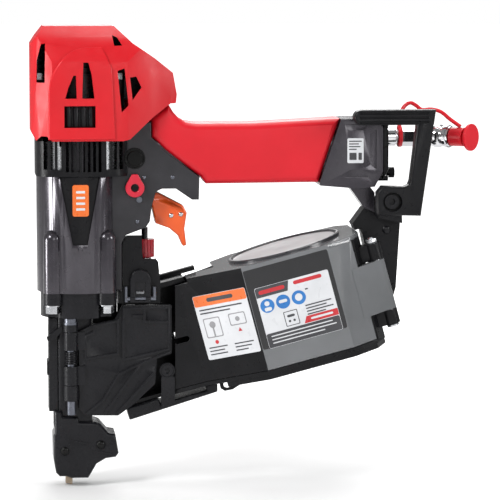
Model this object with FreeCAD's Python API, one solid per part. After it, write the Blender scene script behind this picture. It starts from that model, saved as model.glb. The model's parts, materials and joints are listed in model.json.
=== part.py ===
"""Pneumatic coil nail gun, as an assembly of separate pieces, one STEP file for each piece.

Millimetres. The driver runs along Z through the origin, which is the point where a nail leaves
the contact foot. +Z runs up the tool, +X towards the air plug and -Y towards the side that opens.
The magazine is tilted: its own axes are u, which climbs to the rear, y, and v along the nails.
"""
import FreeCAD, Part
import math
import os

V = FreeCAD.Vector

# Driving dimensions
BARREL_R = 26.5            # outside of the main barrel
BARREL_FOOT = 120.0        # lower end of the barrel, where the nose bolts on
BARREL_TOP = 236.0
BORE_R = 18.0              # the driver piston runs in this
STROKE = 88.0
PISTON_H = 12.0
BLADE_R = 2.2
RUNNING = 0.05             # radial gap of a piston or a shaft in its bore
CONTACT_TRAVEL = 10.0      # the contact foot is pushed in by this much
COVER_TOP = 288.0
COVER_SIDE = 31.0          # half width of the red cover
COVER_WALL = 2.4
HANDLE_AXIS_Z = 207.0
HANDLE_CORE = (27.0, 32.0)     # width and height of the hollow handle core
GRIP_SIDE = 17.0           # half width of the rubber grip
CHEEK_IN, CHEEK_OUT = 13.6, 16.5   # inner and outer faces of the trigger bracket's cheeks
PLUG_Z = 216.5             # height of the air fitting's axis
PLUG_TURN = 42.0           # the plug points this far to the side
NAIL_TILT = 15.0           # the magazine climbs to the rear by this angle
MAG_LOW, MAG_HIGH = 36.0, 106.3    # the magazine's floor and lid, along v
MAG_WALL = 2.5
COIL_U = 165.0             # axis of the nail coil, along u
HINGE_U, HINGE_Y = 217.7, -25.0    # hinge line of the magazine cover
DOOR_X, DOOR_Y = -5.8, -16.0       # hinge line of the nose door
DIAL_X = 42.3              # axis of the depth dial and the contact rod
TRIGGER_X, TRIGGER_Z = 37.9, 178.4  # trigger pivot
HOOK_X, HOOK_Z = 197.0, 177.0      # hook pivot
HOOK_IN, HOOK_OUT = -23.5, -34.5   # the hook lies between these two planes


def box(x0, x1, y0, y1, z0, z1):
    return Part.makeBox(x1 - x0, y1 - y0, z1 - z0, V(x0, y0, z0))


def rod(radius, length, start, way=(0, 0, 1)):
    return Part.makeCylinder(radius, length, V(*start), V(*way))


def tube(outer, inner, length, start, way=(0, 0, 1)):
    return rod(outer, length, start, way).cut(rod(inner, length, start, way))


def side_prism(outline, y0, y1):
    """A plate with this outline in XZ, from y0 to y1."""
    points = [V(x, y0, z) for x, z in outline]
    return Part.Face(Part.makePolygon(points + points[:1])).extrude(V(0, y1 - y0, 0))


def plan_prism(outline, z0, z1):
    """A plate with this outline in XY, from z0 to z1."""
    points = [V(x, y, z0) for x, y in outline]
    return Part.Face(Part.makePolygon(points + points[:1])).extrude(V(0, 0, z1 - z0))


def end_prism(outline, x0, x1):
    """A plate with this outline in YZ, from x0 to x1."""
    points = [V(x0, y, z) for y, z in outline]
    return Part.Face(Part.makePolygon(points + points[:1])).extrude(V(x1 - x0, 0, 0))


def inset_prism(make, outline, inset, start, end):
    """A prism whose convex or hollow outline is drawn in by inset."""
    count = len(outline)
    area = sum(outline[k - 1][0] * outline[k][1] - outline[k][0] * outline[k - 1][1] for k in range(count))
    side = math.copysign(inset, area)
    lines = []
    for (ax, ay), (bx, by) in zip(outline, outline[1:] + outline[:1]):
        length = math.hypot(bx - ax, by - ay)
        nx, ny = -(by - ay) / length, (bx - ax) / length
        lines.append((nx, ny, nx * ax + ny * ay + side))
    points = []
    for (a, b, c), (d, e, f) in zip(lines[-1:] + lines[:-1], lines):
        det = a * e - b * d
        points.append(((c * e - b * f) / det, (a * f - c * d) / det))
    return make(points, start, end)


def hexagon(across, height, start, way=(0, 0, 1)):
    """A hexagonal bolt head of this width across its flats."""
    r = across / math.sqrt(3)
    ring = [V(r * math.cos(math.radians(60 * k)), r * math.sin(math.radians(60 * k)), 0)
            for k in range(6)]
    head = Part.Face(Part.makePolygon(ring + ring[:1])).extrude(V(0, 0, height))
    head.Placement = FreeCAD.Placement(V(*start), FreeCAD.Rotation(V(0, 0, 1), V(*way)))
    return head


def fuse(first, *others):
    return first.multiFuse(list(others)).removeSplitter() if others else first


def cut(base, *tools):
    for tool in tools:
        base = base.cut(tool)
    return base


def rounded(shape, radii, wanted):
    """Rounds the wanted edges with the first radius that works."""
    for radius in radii:
        edges = [e for e in shape.Edges if wanted(e)]
        try:
            result = shape.makeFillet(radius, edges)
        except Exception:
            continue
        if result.isValid() and result.Volume > 0:
            return result
    return shape


def across_y(edge):
    """True for an edge that runs along Y."""
    a, b = edge.Vertexes[0].Point, edge.Vertexes[-1].Point
    return len(edge.Vertexes) == 2 and abs(a.x - b.x) < 1e-6 and abs(a.z - b.z) < 1e-6


def on_plane_y(y):
    """A test for edges that lie wholly in the plane at +y or -y."""
    def test(edge):
        box_ = edge.BoundBox
        return box_.YLength < 1e-5 and abs(abs(box_.YMin) - y) < 1e-5
    return test


def mirror_y(shape):
    return shape.mirror(V(0, 0, 0), V(0, 1, 0))


def pair(shape):
    """The shape and its mirror image as two separate solids."""
    return Part.makeCompound([shape, mirror_y(shape)])


def tilt(shape):
    """Turns a piece from the magazine's own u, y, v axes into the tool's."""
    turned = shape.copy()
    turned.rotate(V(0, 0, 0), V(0, 1, 0), -NAIL_TILT)
    return turned


def save(name, shape):
    shape.exportStep("parts/" + name + ".step")


# ---------------------------------------------------------------- barrel, handle and casting

NOSE_BOLTS = [(sx * 17.0, sy * 19.0) for sx in (-1, 1) for sy in (-1, 1)]
GRILLE_LOW, GRILLE_HIGH = 194.0, 221.0
COVER_LOW = 216.5          # the cover's lower edge over the grille
GRILLE_STEP_R = 22.6       # the barrel is slimmer behind the exhaust grille
INSERT_OUTLINE = [(-12.7, 193.8), (-4.6, 151.0), (4.6, 151.0), (12.7, 193.8)]


def stadium(width, height, x0, x1, corner):
    """A bar along X with rounded corners, centred on the handle's axis."""
    half_w, half_h = width / 2, height / 2
    z0, z1 = HANDLE_AXIS_Z - half_h, HANDLE_AXIS_Z + half_h
    bar = box(x0, x1, -half_w, half_w, z0, z1)
    return bar.makeFillet(corner, [e for e in bar.Edges if e.BoundBox.XLength > 1])


def handle_core():
    return stadium(HANDLE_CORE[0], HANDLE_CORE[1], 10, 170, 11.0)


def bolt_column(x, y):
    """A rounded bulge on the barrel that carries a nose bolt, with an arched top."""
    column = rod(6.0, 34, (x, y, BARREL_FOOT))
    arch = Part.makeSphere(6.0, V(x, y, BARREL_FOOT + 34))
    return column.fuse(arch)


def insert_frame():
    """The raised border that the side insert sits in."""
    border = [(-16.5, 193.8), (-8.2, 146.5), (8.2, 146.5), (16.5, 193.8)]
    prism = side_prism(border, -40, 0)
    return prism.common(rod(BARREL_R + 1.8, 80, (0, 0, 140)))


def end_block():
    """The faceted rear end of the handle casting."""
    outline = [(152.6, 188.3), (166.3, 228.6), (189, 229), (193.2, 223), (193.2, 195),
               (188, 185.5), (176, 184.5), (153, 186.5)]
    block = side_prism(outline, -18, 18)
    block = rounded(block, (5, 4, 3, 2), on_plane_y(18))
    chevrons = [
        [(171.5, 221.5), (180.5, 221.5), (183.5, 225.5), (168.5, 225.5)],
        [(172.5, 196.5), (180.5, 196.5), (184.0, 191.5), (169.5, 191.5)],
        [(185.0, 219.0), (189.0, 222.0), (189.0, 196.5), (185.0, 199.5)],
    ]
    for outline in chevrons:
        block = cut(block, side_prism(outline, -19, -16.4), side_prism(outline, 16.4, 19))
    return block


def strut():
    """The leg under the handle's end that carries the magazine."""
    outline = [(171.8, 186.5), (182.4, 171.5), (189.0, 168.5), (189.4, 181), (184.5, 187)]
    return side_prism(outline, -8, 8)


def body_casting():
    barrel = rod(BARREL_R, GRILLE_LOW - BARREL_FOOT, (0, 0, BARREL_FOOT))
    neck = rod(GRILLE_STEP_R, BARREL_TOP - GRILLE_LOW, (0, 0, GRILLE_LOW))
    columns = [bolt_column(x, y) for x, y in NOSE_BOLTS]
    frame = insert_frame()
    body = fuse(barrel, neck, frame, mirror_y(frame), handle_core(), end_block(), strut(), *columns)
    pocket = side_prism(INSERT_OUTLINE, -40, 0).cut(rod(BARREL_R - 0.8, 80, (0, 0, 140)))
    body = cut(body, pocket, mirror_y(pocket))
    body = cut(body, rod(20.6, 130, (0, 0, BARREL_FOOT - 1)))
    body = cut(body, rod(23.4, 52, (0, 0, BARREL_FOOT + 8)))
    body = cut(body, rod(9.5, 178, (12, 0, HANDLE_AXIS_Z), (1, 0, 0)))
    body = cut(body, rod(VALVE_R, 24, (VALVE_X, 0, VALVE_LOW - 1)))
    for x, y in NOSE_BOLTS:
        body = cut(body, rod(2.6, 22, (x, y, BARREL_FOOT - 1)))
    for y, z in END_CAP_SCREWS:
        body = cut(body, rod(1.7, 11, (183, y, z), (1, 0, 0)))
    return body


def side_insert():
    prism = side_prism(INSERT_OUTLINE, -40, 0)
    shell = rod(BARREL_R + 0.9, 80, (0, 0, 140)).cut(rod(BARREL_R - 0.8, 80, (0, 0, 140)))
    return prism.common(shell)


def grille_form(inset, z0, z1):
    """The grille's squarish ring, drawn in by inset. It is wider than the barrel on the handle's side."""
    x0, x1, half, corner = -BARREL_R - 0.6 + inset, 31.0 - inset, 27.4 - inset, 14.0 - inset
    block = box(x0, x1, -half, half, z0, z1)
    return block.makeFillet(corner, [e for e in block.Edges if e.BoundBox.ZLength > 1])


MESH_SLOTS = (-21.2, -16.8, -12.6, 18.0, 22.1, 26.2)
PLAIN_SLOTS = (-7.7, -4.3, -0.9, 2.5, 5.9, 9.3, 12.7)


def exhaust_grille():
    """The slotted ring that the used air leaves through."""
    ring = grille_form(0, GRILLE_LOW, COVER_LOW - 0.3)
    ring = cut(ring, grille_form(3.2, GRILLE_LOW + 2.5, GRILLE_HIGH + 1))
    ring = ring.fuse(rod(BARREL_R + 0.6, 8, (0, 0, GRILLE_HIGH - 8)))
    ring = cut(ring, rod(GRILLE_STEP_R + 0.4, 40, (0, 0, GRILLE_LOW - 1)),
               box(13.0, 40, -CHEEK_OUT - 0.4, CHEEK_OUT + 0.4, GRILLE_LOW - 1, GRILLE_HIGH + 1),
               rod(7.3, 60, (SIDE_PLUG_X, -30, SIDE_PLUG_Z), (0, 1, 0)))
    for x in MESH_SLOTS:
        ring = ring.cut(box(x - 1.25, x + 1.25, -40, 40, GRILLE_LOW + 4.5, GRILLE_HIGH + 1))
    for x in PLAIN_SLOTS:
        ring = ring.cut(box(x - 0.95, x + 0.95, -40, 40, GRILLE_LOW + 3.0, GRILLE_HIGH + 1))
    return max(ring.Solids, key=lambda s: s.Volume)


def exhaust_screen():
    """Bright metal mesh behind the outer slots of the grille."""
    ring = grille_form(3.3, GRILLE_LOW + 2.6, COVER_LOW - 0.5)
    ring = cut(ring, grille_form(3.8, GRILLE_LOW, GRILLE_HIGH),
               rod(7.3, 60, (SIDE_PLUG_X, -30, SIDE_PLUG_Z), (0, 1, 0)),
               rod(BARREL_R + 0.7, 12, (0, 0, GRILLE_HIGH - 8.1)))
    keep = [box(x0, x1, y0, y0 + 25, GRILLE_LOW, GRILLE_HIGH)
            for x0, x1 in ((-23.4, -10.6), (16.0, 27.5)) for y0 in (-CHEEK_OUT - 26, CHEEK_OUT + 1)]
    bands = [ring.common(k) for k in keep]
    return Part.makeCompound([s for band in bands for s in band.Solids])


# ---------------------------------------------------------------- drive parts inside the barrel

PISTON_LOW = BARREL_FOOT + 14.3 + STROKE
BLADE_TIP = 11.5 + STROKE
HEAD_BOLTS = [(-24.2, -9.5), (-24.2, 9.5), (26.2, -9.5), (26.2, 9.5)]
HEAD_LOW, HEAD_HIGH = BARREL_TOP + 0.2, 279.0


def cylinder_sleeve():
    wall = tube(19.6, BORE_R, BARREL_TOP - BARREL_FOOT - 0.4, (0, 0, BARREL_FOOT + 0.2))
    top = tube(20.5, 19.5, 4, (0, 0, BARREL_TOP - 4.2))
    foot = tube(20.5, 19.5, 4, (0, 0, BARREL_FOOT + 0.2))
    sleeve = fuse(wall, top, foot)
    for k in range(8):
        way = (math.cos(k * math.pi / 4), math.sin(k * math.pi / 4), 0)
        hole = rod(1.5, 24, (0, 0, BARREL_FOOT + 22), way)
        sleeve = sleeve.cut(hole)
    return sleeve


def bumper():
    return cut(rod(17.9, 13.8, (0, 0, BARREL_FOOT + 0.2)), rod(4.5, 16, (0, 0, BARREL_FOOT - 1)))


def piston():
    body = rod(BORE_R - RUNNING, PISTON_H, (0, 0, PISTON_LOW))
    groove = tube(BORE_R + 1, 15.8, 3.0, (0, 0, PISTON_LOW + 4.5))
    dish = Part.makeCone(12, 9, 4, V(0, 0, PISTON_LOW + PISTON_H), V(0, 0, -1))
    return cut(body, groove, dish, rod(BLADE_R, 8, (0, 0, PISTON_LOW - 1)))


def driver_blade():
    return rod(BLADE_R, PISTON_LOW + 7 - BLADE_TIP, (0, 0, BLADE_TIP))


def head_valve():
    cup = tube(20.9, 18.6, 16, (0, 0, HEAD_LOW + 0.6))
    deck = tube(20.9, 6.0, 4, (0, 0, HEAD_LOW + 12.6))
    return fuse(cup, deck)


def cylinder_head():
    shell = rod(24.0, HEAD_HIGH - HEAD_LOW, (0, 0, HEAD_LOW))
    lugs = [rod(3.0, 18, (x, y, HEAD_LOW)) for x, y in HEAD_BOLTS]
    webs = [box(min(x, 20), max(x, -20), y - 3, y + 3, HEAD_LOW, HEAD_LOW + 18)
            for x, y in HEAD_BOLTS]
    head = fuse(shell, *(lugs + webs))
    head = rounded(head, (5, 3), lambda e: abs(e.BoundBox.ZMin - HEAD_HIGH) < 1e-5)
    head = cut(head, rod(21.0, 26, (0, 0, HEAD_LOW - 1)))
    for x, y in HEAD_BOLTS:
        head = cut(head, rod(1.9, 30, (x, y, HEAD_LOW - 1)), rod(3.6, 20, (x, y, HEAD_LOW + 18)))
    for k in range(5):
        z = HEAD_LOW + 22 + 3.6 * k
        head = head.cut(tube(30, 22.4, 1.4, (0, 0, z)))
    return head.fuse(head_fin())


def head_fin():
    """The upright rib along the middle of the head, which reaches into the cover."""
    fin = inset_prism(side_prism, COVER_OUTLINE, COVER_WALL + 0.6, -1.2, 1.2)
    fin = fin.common(box(-28, 54, -2, 2, 241, 285.4))
    return cut(fin, box(-21.6, 21.6, -2, 2, 240, HEAD_HIGH - 1))


def head_bolts():
    bolts = []
    for x, y in HEAD_BOLTS:
        shank = rod(1.85, 17.8, (x, y, HEAD_LOW + 0.2))
        bolts.append(shank.fuse(hexagon(5.6, 4.2, (x, y, HEAD_LOW + 18))))
    return Part.makeCompound(bolts)


def head_spring():
    return tube(15.5, 13.5, 7.6, (0, 0, HEAD_LOW + 17.0))


# ---------------------------------------------------------------- red cylinder cover

COVER_OUTLINE = [(-30, 222), (-30, 277), (-22, COVER_TOP), (22.5, COVER_TOP), (33.5, 277.5),
                 (47.5, 268), (59.5, 258.5), (62, 245), (61.5, 239.5), (57, 238.6), (46, 230.6),
                 (31.5, 217.5), (27, COVER_LOW), (-17, COVER_LOW), (-20.5, 219.5), (-24, 219.5),
                 (-27, COVER_LOW)]


def cover_form(inset):
    """The cover's outer shape, drawn in on every side by inset."""
    body = inset_prism(side_prism, COVER_OUTLINE, inset, -COVER_SIDE, COVER_SIDE)
    plan = [(-30, -14), (-26.5, -23), (-17, COVER_SIDE * -1), (30, COVER_SIDE * -1), (46, -24),
            (62.5, -15), (62.5, 15), (46, 24), (30, COVER_SIDE), (-17, COVER_SIDE), (-26.5, 23),
            (-30, 14)]
    body = body.common(inset_prism(plan_prism, plan, inset, 200, 300))
    front = [(-COVER_SIDE, 200), (-COVER_SIDE, 266), (-24, 281), (-14, COVER_TOP),
             (14, COVER_TOP), (24, 281), (COVER_SIDE, 266), (COVER_SIDE, 200)]
    return body.common(inset_prism(end_prism, front, inset, -40, 70))


def cover_windows():
    """Side windows of the cover, as prisms through its whole width."""
    slot = [(-26.5, 253.0), (-21.5, 253.0), (-21.0, 277.5), (-23.6, 277.0), (-26.2, 267)]
    small = [(20.8, 282.4), (24.0, 281.0), (27.0, 276.0), (22.0, 275.8)]
    left = [(-9.0, 243.2), (-1.8, 243.2), (-2.2, 257.6), (-3.8, 257.6), (-7.0, 250)]
    right = [(1.6, 243.2), (9.3, 243.2), (7.6, 258), (5.6, 265.6), (2.4, 265.8)]
    grille = [(-9.6, 225.0), (9.9, 225.0), (9.9, 238.6), (-9.6, 238.6)]
    tall = [(26.2, 234.4), (30.6, 238.6), (28.2, 262.0), (23.8, 260.4)]
    pane = [(33.2, 242.0), (39.0, 249.8), (35.6, 256.8), (31.6, 256.2)]
    return [slot, small, left, right, grille, tall, pane]


def arch_panel():
    """The raised arch on the side of the cover."""
    steps = 10
    outline = [(-19.5, 217.5)]
    for k in range(steps + 1):
        angle = math.pi - k * math.pi / 2 / steps
        outline.append((5.5 + 25.0 * math.cos(angle), 245.0 + 30.0 * math.sin(angle)))
    outline += [(14, 275.0), (20.5, 262), (22.5, 217.5)]
    return outline


def cylinder_cover():
    outer = cover_form(0)
    outer = rounded(outer, (5.0, 4.0, 3.0, 2.0),
                    lambda e: e.BoundBox.ZMin > 222 and e.Length > 3)
    panel = side_prism(arch_panel(), -COVER_SIDE - 1.6, -COVER_SIDE + 6)
    panel = rounded(panel, (1.2, 0.8), lambda e: abs(e.BoundBox.YMax + COVER_SIDE + 1.6) < 1e-5)
    side_limit = end_prism([(-32.6, 200), (-32.6, 266.4), (-25.5, 281.6), (0, 290), (0, 200)], -40, 70)
    panel = panel.common(side_limit)
    cover = fuse(outer, panel, mirror_y(panel))
    cover = cover.cut(cover_form(COVER_WALL))
    cover = cut(cover, rod(BARREL_R + 1.2, 60, (0, 0, 190)), cover_hollow())
    for outline in cover_windows():
        cover = cut(cover, side_prism(outline, -60, 60))
    return max(cover.Solids, key=lambda s: s.Volume)


def cover_hollow():
    """Room under the cover for the neck of the casting, the bracket and the grip."""
    return box(0, 80, -CHEEK_OUT - 1.2, CHEEK_OUT + 1.2, 200, 239.2)


def cover_vents():
    """Black ribbed vent inserts behind the square window of the cover."""
    plate = box(-11.4, 11.7, -COVER_SIDE + 2.6, -COVER_SIDE + 4.2, 223.2, 240.4)
    ribs = [rod(1.9, 13.0, (x, -COVER_SIDE + 2.4, 225.3)) for x in (-6.9, -2.2, 2.5, 7.2)]
    return pair(fuse(plate, *ribs))


# ---------------------------------------------------------------- grip, end cap, air fitting

END_CAP_SCREWS = [(-12, 224), (12, 224), (-12, 190.5), (12, 190.5)]


def hand_grip():
    outline = [(45.9, 218.0), (45.9, 229.8), (50.0, 233.6), (57.0, 238.2), (59.8, 233.6),
               (63.5, 229.6), (68.0, 227.2), (74.0, 226.3), (110, 226.3), (165.9, 229.0),
               (152.4, 188.4), (80.5, 188.0), (77.2, 192.4), (66, 200.6), (54.8, 209.4)]
    grip = side_prism(outline, -GRIP_SIDE, GRIP_SIDE)
    grip = rounded(grip, (9, 8, 7, 6, 5, 4, 3), on_plane_y(GRIP_SIDE))
    return grip.cut(handle_core())


def end_cap():
    outline = [(193.4, 227), (196, 225.5), (197.2, 220), (197.2, 196), (193.4, 189)]
    cap = side_prism(outline, -15.5, 15.5)
    cap = rounded(cap, (2, 1), on_plane_y(15.5))
    cap = cut(cap, rod(6.4, 8, (192, 0, PLUG_Z), (1, 0, 0)))
    for y, z in END_CAP_SCREWS:
        cap = cap.cut(rod(1.8, 8, (192, y, z), (1, 0, 0)))
    return cap


def end_cap_screws():
    screws = []
    for y, z in END_CAP_SCREWS:
        shank = rod(1.65, 13.9, (183.3, y, z), (1, 0, 0))
        screws.append(shank.fuse(rod(1.7, 0.6, (196.6, y, z), (1, 0, 0))))
    return Part.makeCompound(screws)


def end_cap_knob():
    knob = fuse(rod(2.2, 2.2, (197.25, -4, 193.6), (1, 0, 0)),
                rod(3.4, 3.4, (199.0, -4, 193.6), (1, 0, 0)))
    for k in range(8):
        a = k * math.pi / 4
        knob = knob.cut(rod(0.6, 5, (198.5, -4 + 3.5 * math.cos(a), 193.6 + 3.5 * math.sin(a)), (1, 0, 0)))
    return knob


def air_inlet():
    boss = fuse(rod(6.3, 10.2, (193.4, 0, PLUG_Z), (1, 0, 0)),
                rod(5.4, 1.6, (203.0, 0, PLUG_Z), (1, 0, 0)))
    return boss.cut(rod(3.5 + RUNNING, 12, (193, 0, PLUG_Z), (1, 0, 0)))


ELBOW = V(231.5, 0, PLUG_Z)
PLUG_WAY = (math.cos(math.radians(PLUG_TURN)), -math.sin(math.radians(PLUG_TURN)), 0)


def along_plug(distance):
    return tuple(ELBOW + V(*PLUG_WAY) * distance)


def swivel_plug():
    spigot = rod(3.5, 8, (197.8, 0, PLUG_Z), (1, 0, 0))
    collar = rod(4.6, 3.2, (204.9, 0, PLUG_Z), (1, 0, 0))
    nut = hexagon(11.4, 7.4, (208.0, 0, PLUG_Z), (1, 0, 0))
    barrel = rod(5.2, 12, (215, 0, PLUG_Z), (1, 0, 0))
    elbow = Part.makeSphere(7.6, ELBOW)
    neck = rod(6.4, 10.4, along_plug(0), PLUG_WAY)
    ring = rod(7.2, 2.0, along_plug(6.6), PLUG_WAY)
    nipple = rod(4.2, 7.8, along_plug(10), PLUG_WAY)
    way_in = rod(2.2, 18.5, along_plug(0), PLUG_WAY)
    bore = rod(2.2, 34, (197, 0, PLUG_Z), (1, 0, 0))
    return cut(fuse(spigot, collar, nut, barrel, elbow, neck, ring, nipple), way_in, bore)


def dust_cap():
    sleeve = rod(6.0, 10.0, along_plug(10.8), PLUG_WAY)
    stem = rod(4.0, 4.2, along_plug(20.0), PLUG_WAY)
    disc = rod(8.7, 2.0, along_plug(23.8), PLUG_WAY)
    cap = fuse(sleeve, stem, disc)
    return cap.cut(rod(4.5, 7.6, along_plug(10.6), PLUG_WAY))


def cap_strap():
    """The rubber strap that keeps the dust cap on the plug."""
    ring = tube(6.9, 4.9, 2.6, (205.2, 0, PLUG_Z), (1, 0, 0))
    route = [(206.5, 0, PLUG_Z + 6.2), (208.5, 0, 232.0), (214.0, -0.5, 236.4), (219.0, -1.5, 231.6),
             (228.0, -4.0, 231.8), (236.5, -8.0, 227.2), (241.4, -9.6, 224.4)]
    links = []
    for a, b in zip(route, route[1:]):
        way = V(*b) - V(*a)
        links.append(rod(1.1, way.Length, a, tuple(way)))
        links.append(Part.makeSphere(1.1, V(*b)))
    return fuse(ring, *links)



# ---------------------------------------------------------------- trigger bracket and trigger

VALVE_X, VALVE_R, VALVE_LOW, VALVE_HIGH = 46.0, 5.0, 186.0, 206.0
TRIGGER_TURN = 10.0
STEM_LIFT = 1.6
MODE_X, MODE_Z = 35.0, 186.2
SIDE_PLUG_X, SIDE_PLUG_Z = 35.1, 204.7
BRACKET_PINS = [(40.9, 192.5), (59.1, 192.5), (36.7, 164.6)]


def trigger_bracket():
    outline = [(15.0, 219.0), (44.0, 227.5), (45.7, 227.5), (45.7, 218.0), (54.5, 209.2),
               (65.8, 200.4), (76.2, 192.6), (75.8, 178.1), (71.5, 178.1), (61.2, 185.2),
               (52.3, 185.2), (48.4, 183.3), (45.7, 173.0), (44.6, 164.5), (42.0, 160.6),
               (37.0, 158.8), (29.5, 156.0), (26.8, 151.0), (26.8, 121.0), (21.0, 121.0),
               (15.0, 150.0)]
    bracket = side_prism(outline, -CHEEK_OUT, CHEEK_OUT)
    bracket = rounded(bracket, (1.0, 0.6), on_plane_y(CHEEK_OUT))
    inside = box(0, 62.5, -CHEEK_IN, CHEEK_IN, 100, 240)
    bracket = cut(bracket, inside, rod(BARREL_R + 0.1, 74.2, (0, 0, 120)),
                  rod(BARREL_R + 0.8, 40, (0, 0, 194)), handle_core())
    for x, y in NOSE_BOLTS:
        bracket = cut(bracket, bolt_column(x, y))
    bracket = cut(bracket, rod(6.7, 10, (SIDE_PLUG_X, -20, SIDE_PLUG_Z), (0, 1, 0)),
                  rod(2.6, 10, (MODE_X, -20, MODE_Z), (0, 1, 0)),
                  rod(2.0, 40, (TRIGGER_X, -20, TRIGGER_Z), (0, 1, 0)))
    for x, z in BRACKET_PINS:
        bracket = bracket.cut(rod(1.3, 40, (x, -20, z), (0, 1, 0)))
    return Part.makeCompound([s for s in bracket.Solids if s.Volume > 20])



def side_plug():
    plug = rod(6.7, 3.4, (SIDE_PLUG_X, -CHEEK_OUT - 0.6, SIDE_PLUG_Z), (0, 1, 0))
    ring = tube(5.6, 4.6, 0.5, (SIDE_PLUG_X, -CHEEK_OUT - 0.6, SIDE_PLUG_Z), (0, 1, 0))
    return plug.cut(ring)


def mode_lever():
    disc = rod(6.0, 3.6, (MODE_X, -CHEEK_OUT - 4.0, MODE_Z), (0, 1, 0))
    wedge = side_prism([(MODE_X - 5, MODE_Z + 3.2), (MODE_X - 1.9, MODE_Z + 8.6),
                        (MODE_X + 1.9, MODE_Z + 8.6), (MODE_X + 5, MODE_Z + 3.2)],
                       -CHEEK_OUT - 4.0, -CHEEK_OUT - 0.4)
    shaft = rod(2.5, 4.6, (MODE_X, -CHEEK_OUT - 0.6, MODE_Z), (0, 1, 0))
    well = rod(2.6, 1.6, (MODE_X, -CHEEK_OUT - 4.2, MODE_Z), (0, 1, 0))
    return cut(fuse(disc, wedge, shaft), well)


def trigger_outline():
    return [(33.0, 174.0), (33.0, 181.2), (50.5, 182.0), (66.5, 173.5), (68.9, 169.0),
            (67.3, 158.8), (68.6, 148.2), (66.3, 147.5), (63.3, 154.3), (57.6, 159.2),
            (48.9, 162.4), (47.4, 169.7), (46.5, 174.0)]


def trigger():
    body = side_prism(trigger_outline(), -7, 7)
    body = rounded(body, (1.6, 1.0, 0.6), lambda e: across_y(e) and e.BoundBox.XMin > 47)
    body = rounded(body, (1.2, 0.8, 0.5), on_plane_y(7))
    body = cut(body, rod(2.05, 20, (TRIGGER_X, -10, TRIGGER_Z), (0, 1, 0)))
    for x, z in TRIGGER_RIVETS:
        body = body.cut(rod(1.5, 20, (x, -10, z), (0, 1, 0)))
    return body


TRIGGER_RIVETS = [(58.8, 167.3), (65.0, 168.0)]



def trigger_pin():
    return rod(2.0, 2 * CHEEK_OUT - 0.2, (TRIGGER_X, -CHEEK_OUT + 0.1, TRIGGER_Z), (0, 1, 0))


def valve_housing():
    body = rod(VALVE_R, VALVE_HIGH - VALVE_LOW, (VALVE_X, 0, VALVE_LOW))
    body = cut(body, rod(3.6, 12, (VALVE_X, 0, VALVE_LOW + 6)))
    return body.cut(rod(1.5 + RUNNING, 8, (VALVE_X, 0, VALVE_LOW - 1)))


def trigger_stem():
    stem = rod(1.5, 15, (VALVE_X, 0, 182.4))
    return stem.fuse(rod(3.3, 2, (VALVE_X, 0, VALVE_LOW + 7)))



# ---------------------------------------------------------------- nose, door and contact foot

NOSE_LOW, NOSE_HIGH = 14.0, 104.0
LUG_LOW = 112.5                     # underside of the four bolt lugs
CHANNEL_R = 3.6
PIN_R = 2.3


def knuckle(z0, z1, radius=4.7):
    return rod(radius, z1 - z0, (DOOR_X, DOOR_Y, z0))


def nose_body():
    flange = rod(24.3, BARREL_FOOT - 0.1 - NOSE_HIGH, (0, 0, NOSE_HIGH))
    lugs = [rod(6.3, BARREL_FOOT - 0.1 - LUG_LOW, (x, y, LUG_LOW)) for x, y in NOSE_BOLTS]
    tower = box(-14, 8, -10, 10, NOSE_LOW, NOSE_HIGH)
    tower = rounded(tower, (2.5, 1.5), lambda e: e.BoundBox.ZLength > 50)
    arms = [box(DOOR_X - 4, DOOR_X + 4, DOOR_Y, -9, z0, z1).fuse(knuckle(z0, z1))
            for z0, z1 in ((50.8, 60.5), (95.0, 99.4))]
    nose = fuse(flange, tower, *(lugs + arms))
    nose = cut(nose, rod(CHANNEL_R, 130, (0, 0, 0)))
    nose = cut(nose, box(0, 20, -CHANNEL_R, CHANNEL_R, 30, 101))
    nose = cut(nose, box(-20, -4.2, -2.5, 2.5, 10, 33), box(-12.0, -8.0, -20, 20, 10, 30.5))
    for x, y in NOSE_BOLTS:
        nose = nose.cut(rod(2.6, 30, (x, y, NOSE_HIGH - 2)))
        nose = nose.cut(rod(5.8, LUG_LOW - NOSE_HIGH + 0.4, (x, y, NOSE_HIGH - 0.4)))
    return nose.cut(rod(PIN_R, 80, (DOOR_X, DOOR_Y, 40)))


def nose_bolts():
    bolts = []
    for x, y in NOSE_BOLTS:
        head = hexagon(8.0, 5.2, (x, y, LUG_LOW - 5.4))
        washer = rod(4.9, 0.8, (x, y, LUG_LOW - 0.9))
        shank = rod(2.55, 19.5, (x, y, LUG_LOW - 0.5))
        bolts.append(fuse(head, washer, shank))
    return Part.makeCompound(bolts)


def nose_guard():
    """The black plate down the front of the nose, with its release finger."""
    plate = box(-19.6, -14.1, -9, 9, 43, 102.6)
    plate = cut(plate, box(-25, -16.5, -3.5, 3.5, 40, 98))
    finger = side_prism([(-21.0, 90.8), (-11.5, 98.2), (-10.8, 95.4), (-16, 89.2), (-20.4, 88.6)], -12.4, -9)
    finger = finger.cut(box(-14.05, 0, -10.05, 0, 80, 110))
    stop = box(-20.6, -17.4, -6.5, 6.5, 66, 75)
    return fuse(plate, finger, stop)


def hinge_pin():
    head = fuse(rod(PIN_R, 59.6, (DOOR_X, DOOR_Y, 41.6)), rod(4.2, 2.6, (DOOR_X, DOOR_Y, 100.8)),
                rod(4.6, 1.3, (DOOR_X, DOOR_Y, 99.5)), rod(2.7, 8.6, (DOOR_X, DOOR_Y, 41.8)))
    return head


def hinge_spring():
    """The torsion spring on the hinge pin, as a stack of close turns."""
    turns = [tube(3.9, PIN_R + 0.2, 1.5, (DOOR_X, DOOR_Y, 73.2 + 1.9 * k)) for k in range(5)]
    liner = tube(3.3, PIN_R + 0.2, 9.1, (DOOR_X, DOOR_Y, 73.2))
    return fuse(liner, *turns)


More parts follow.
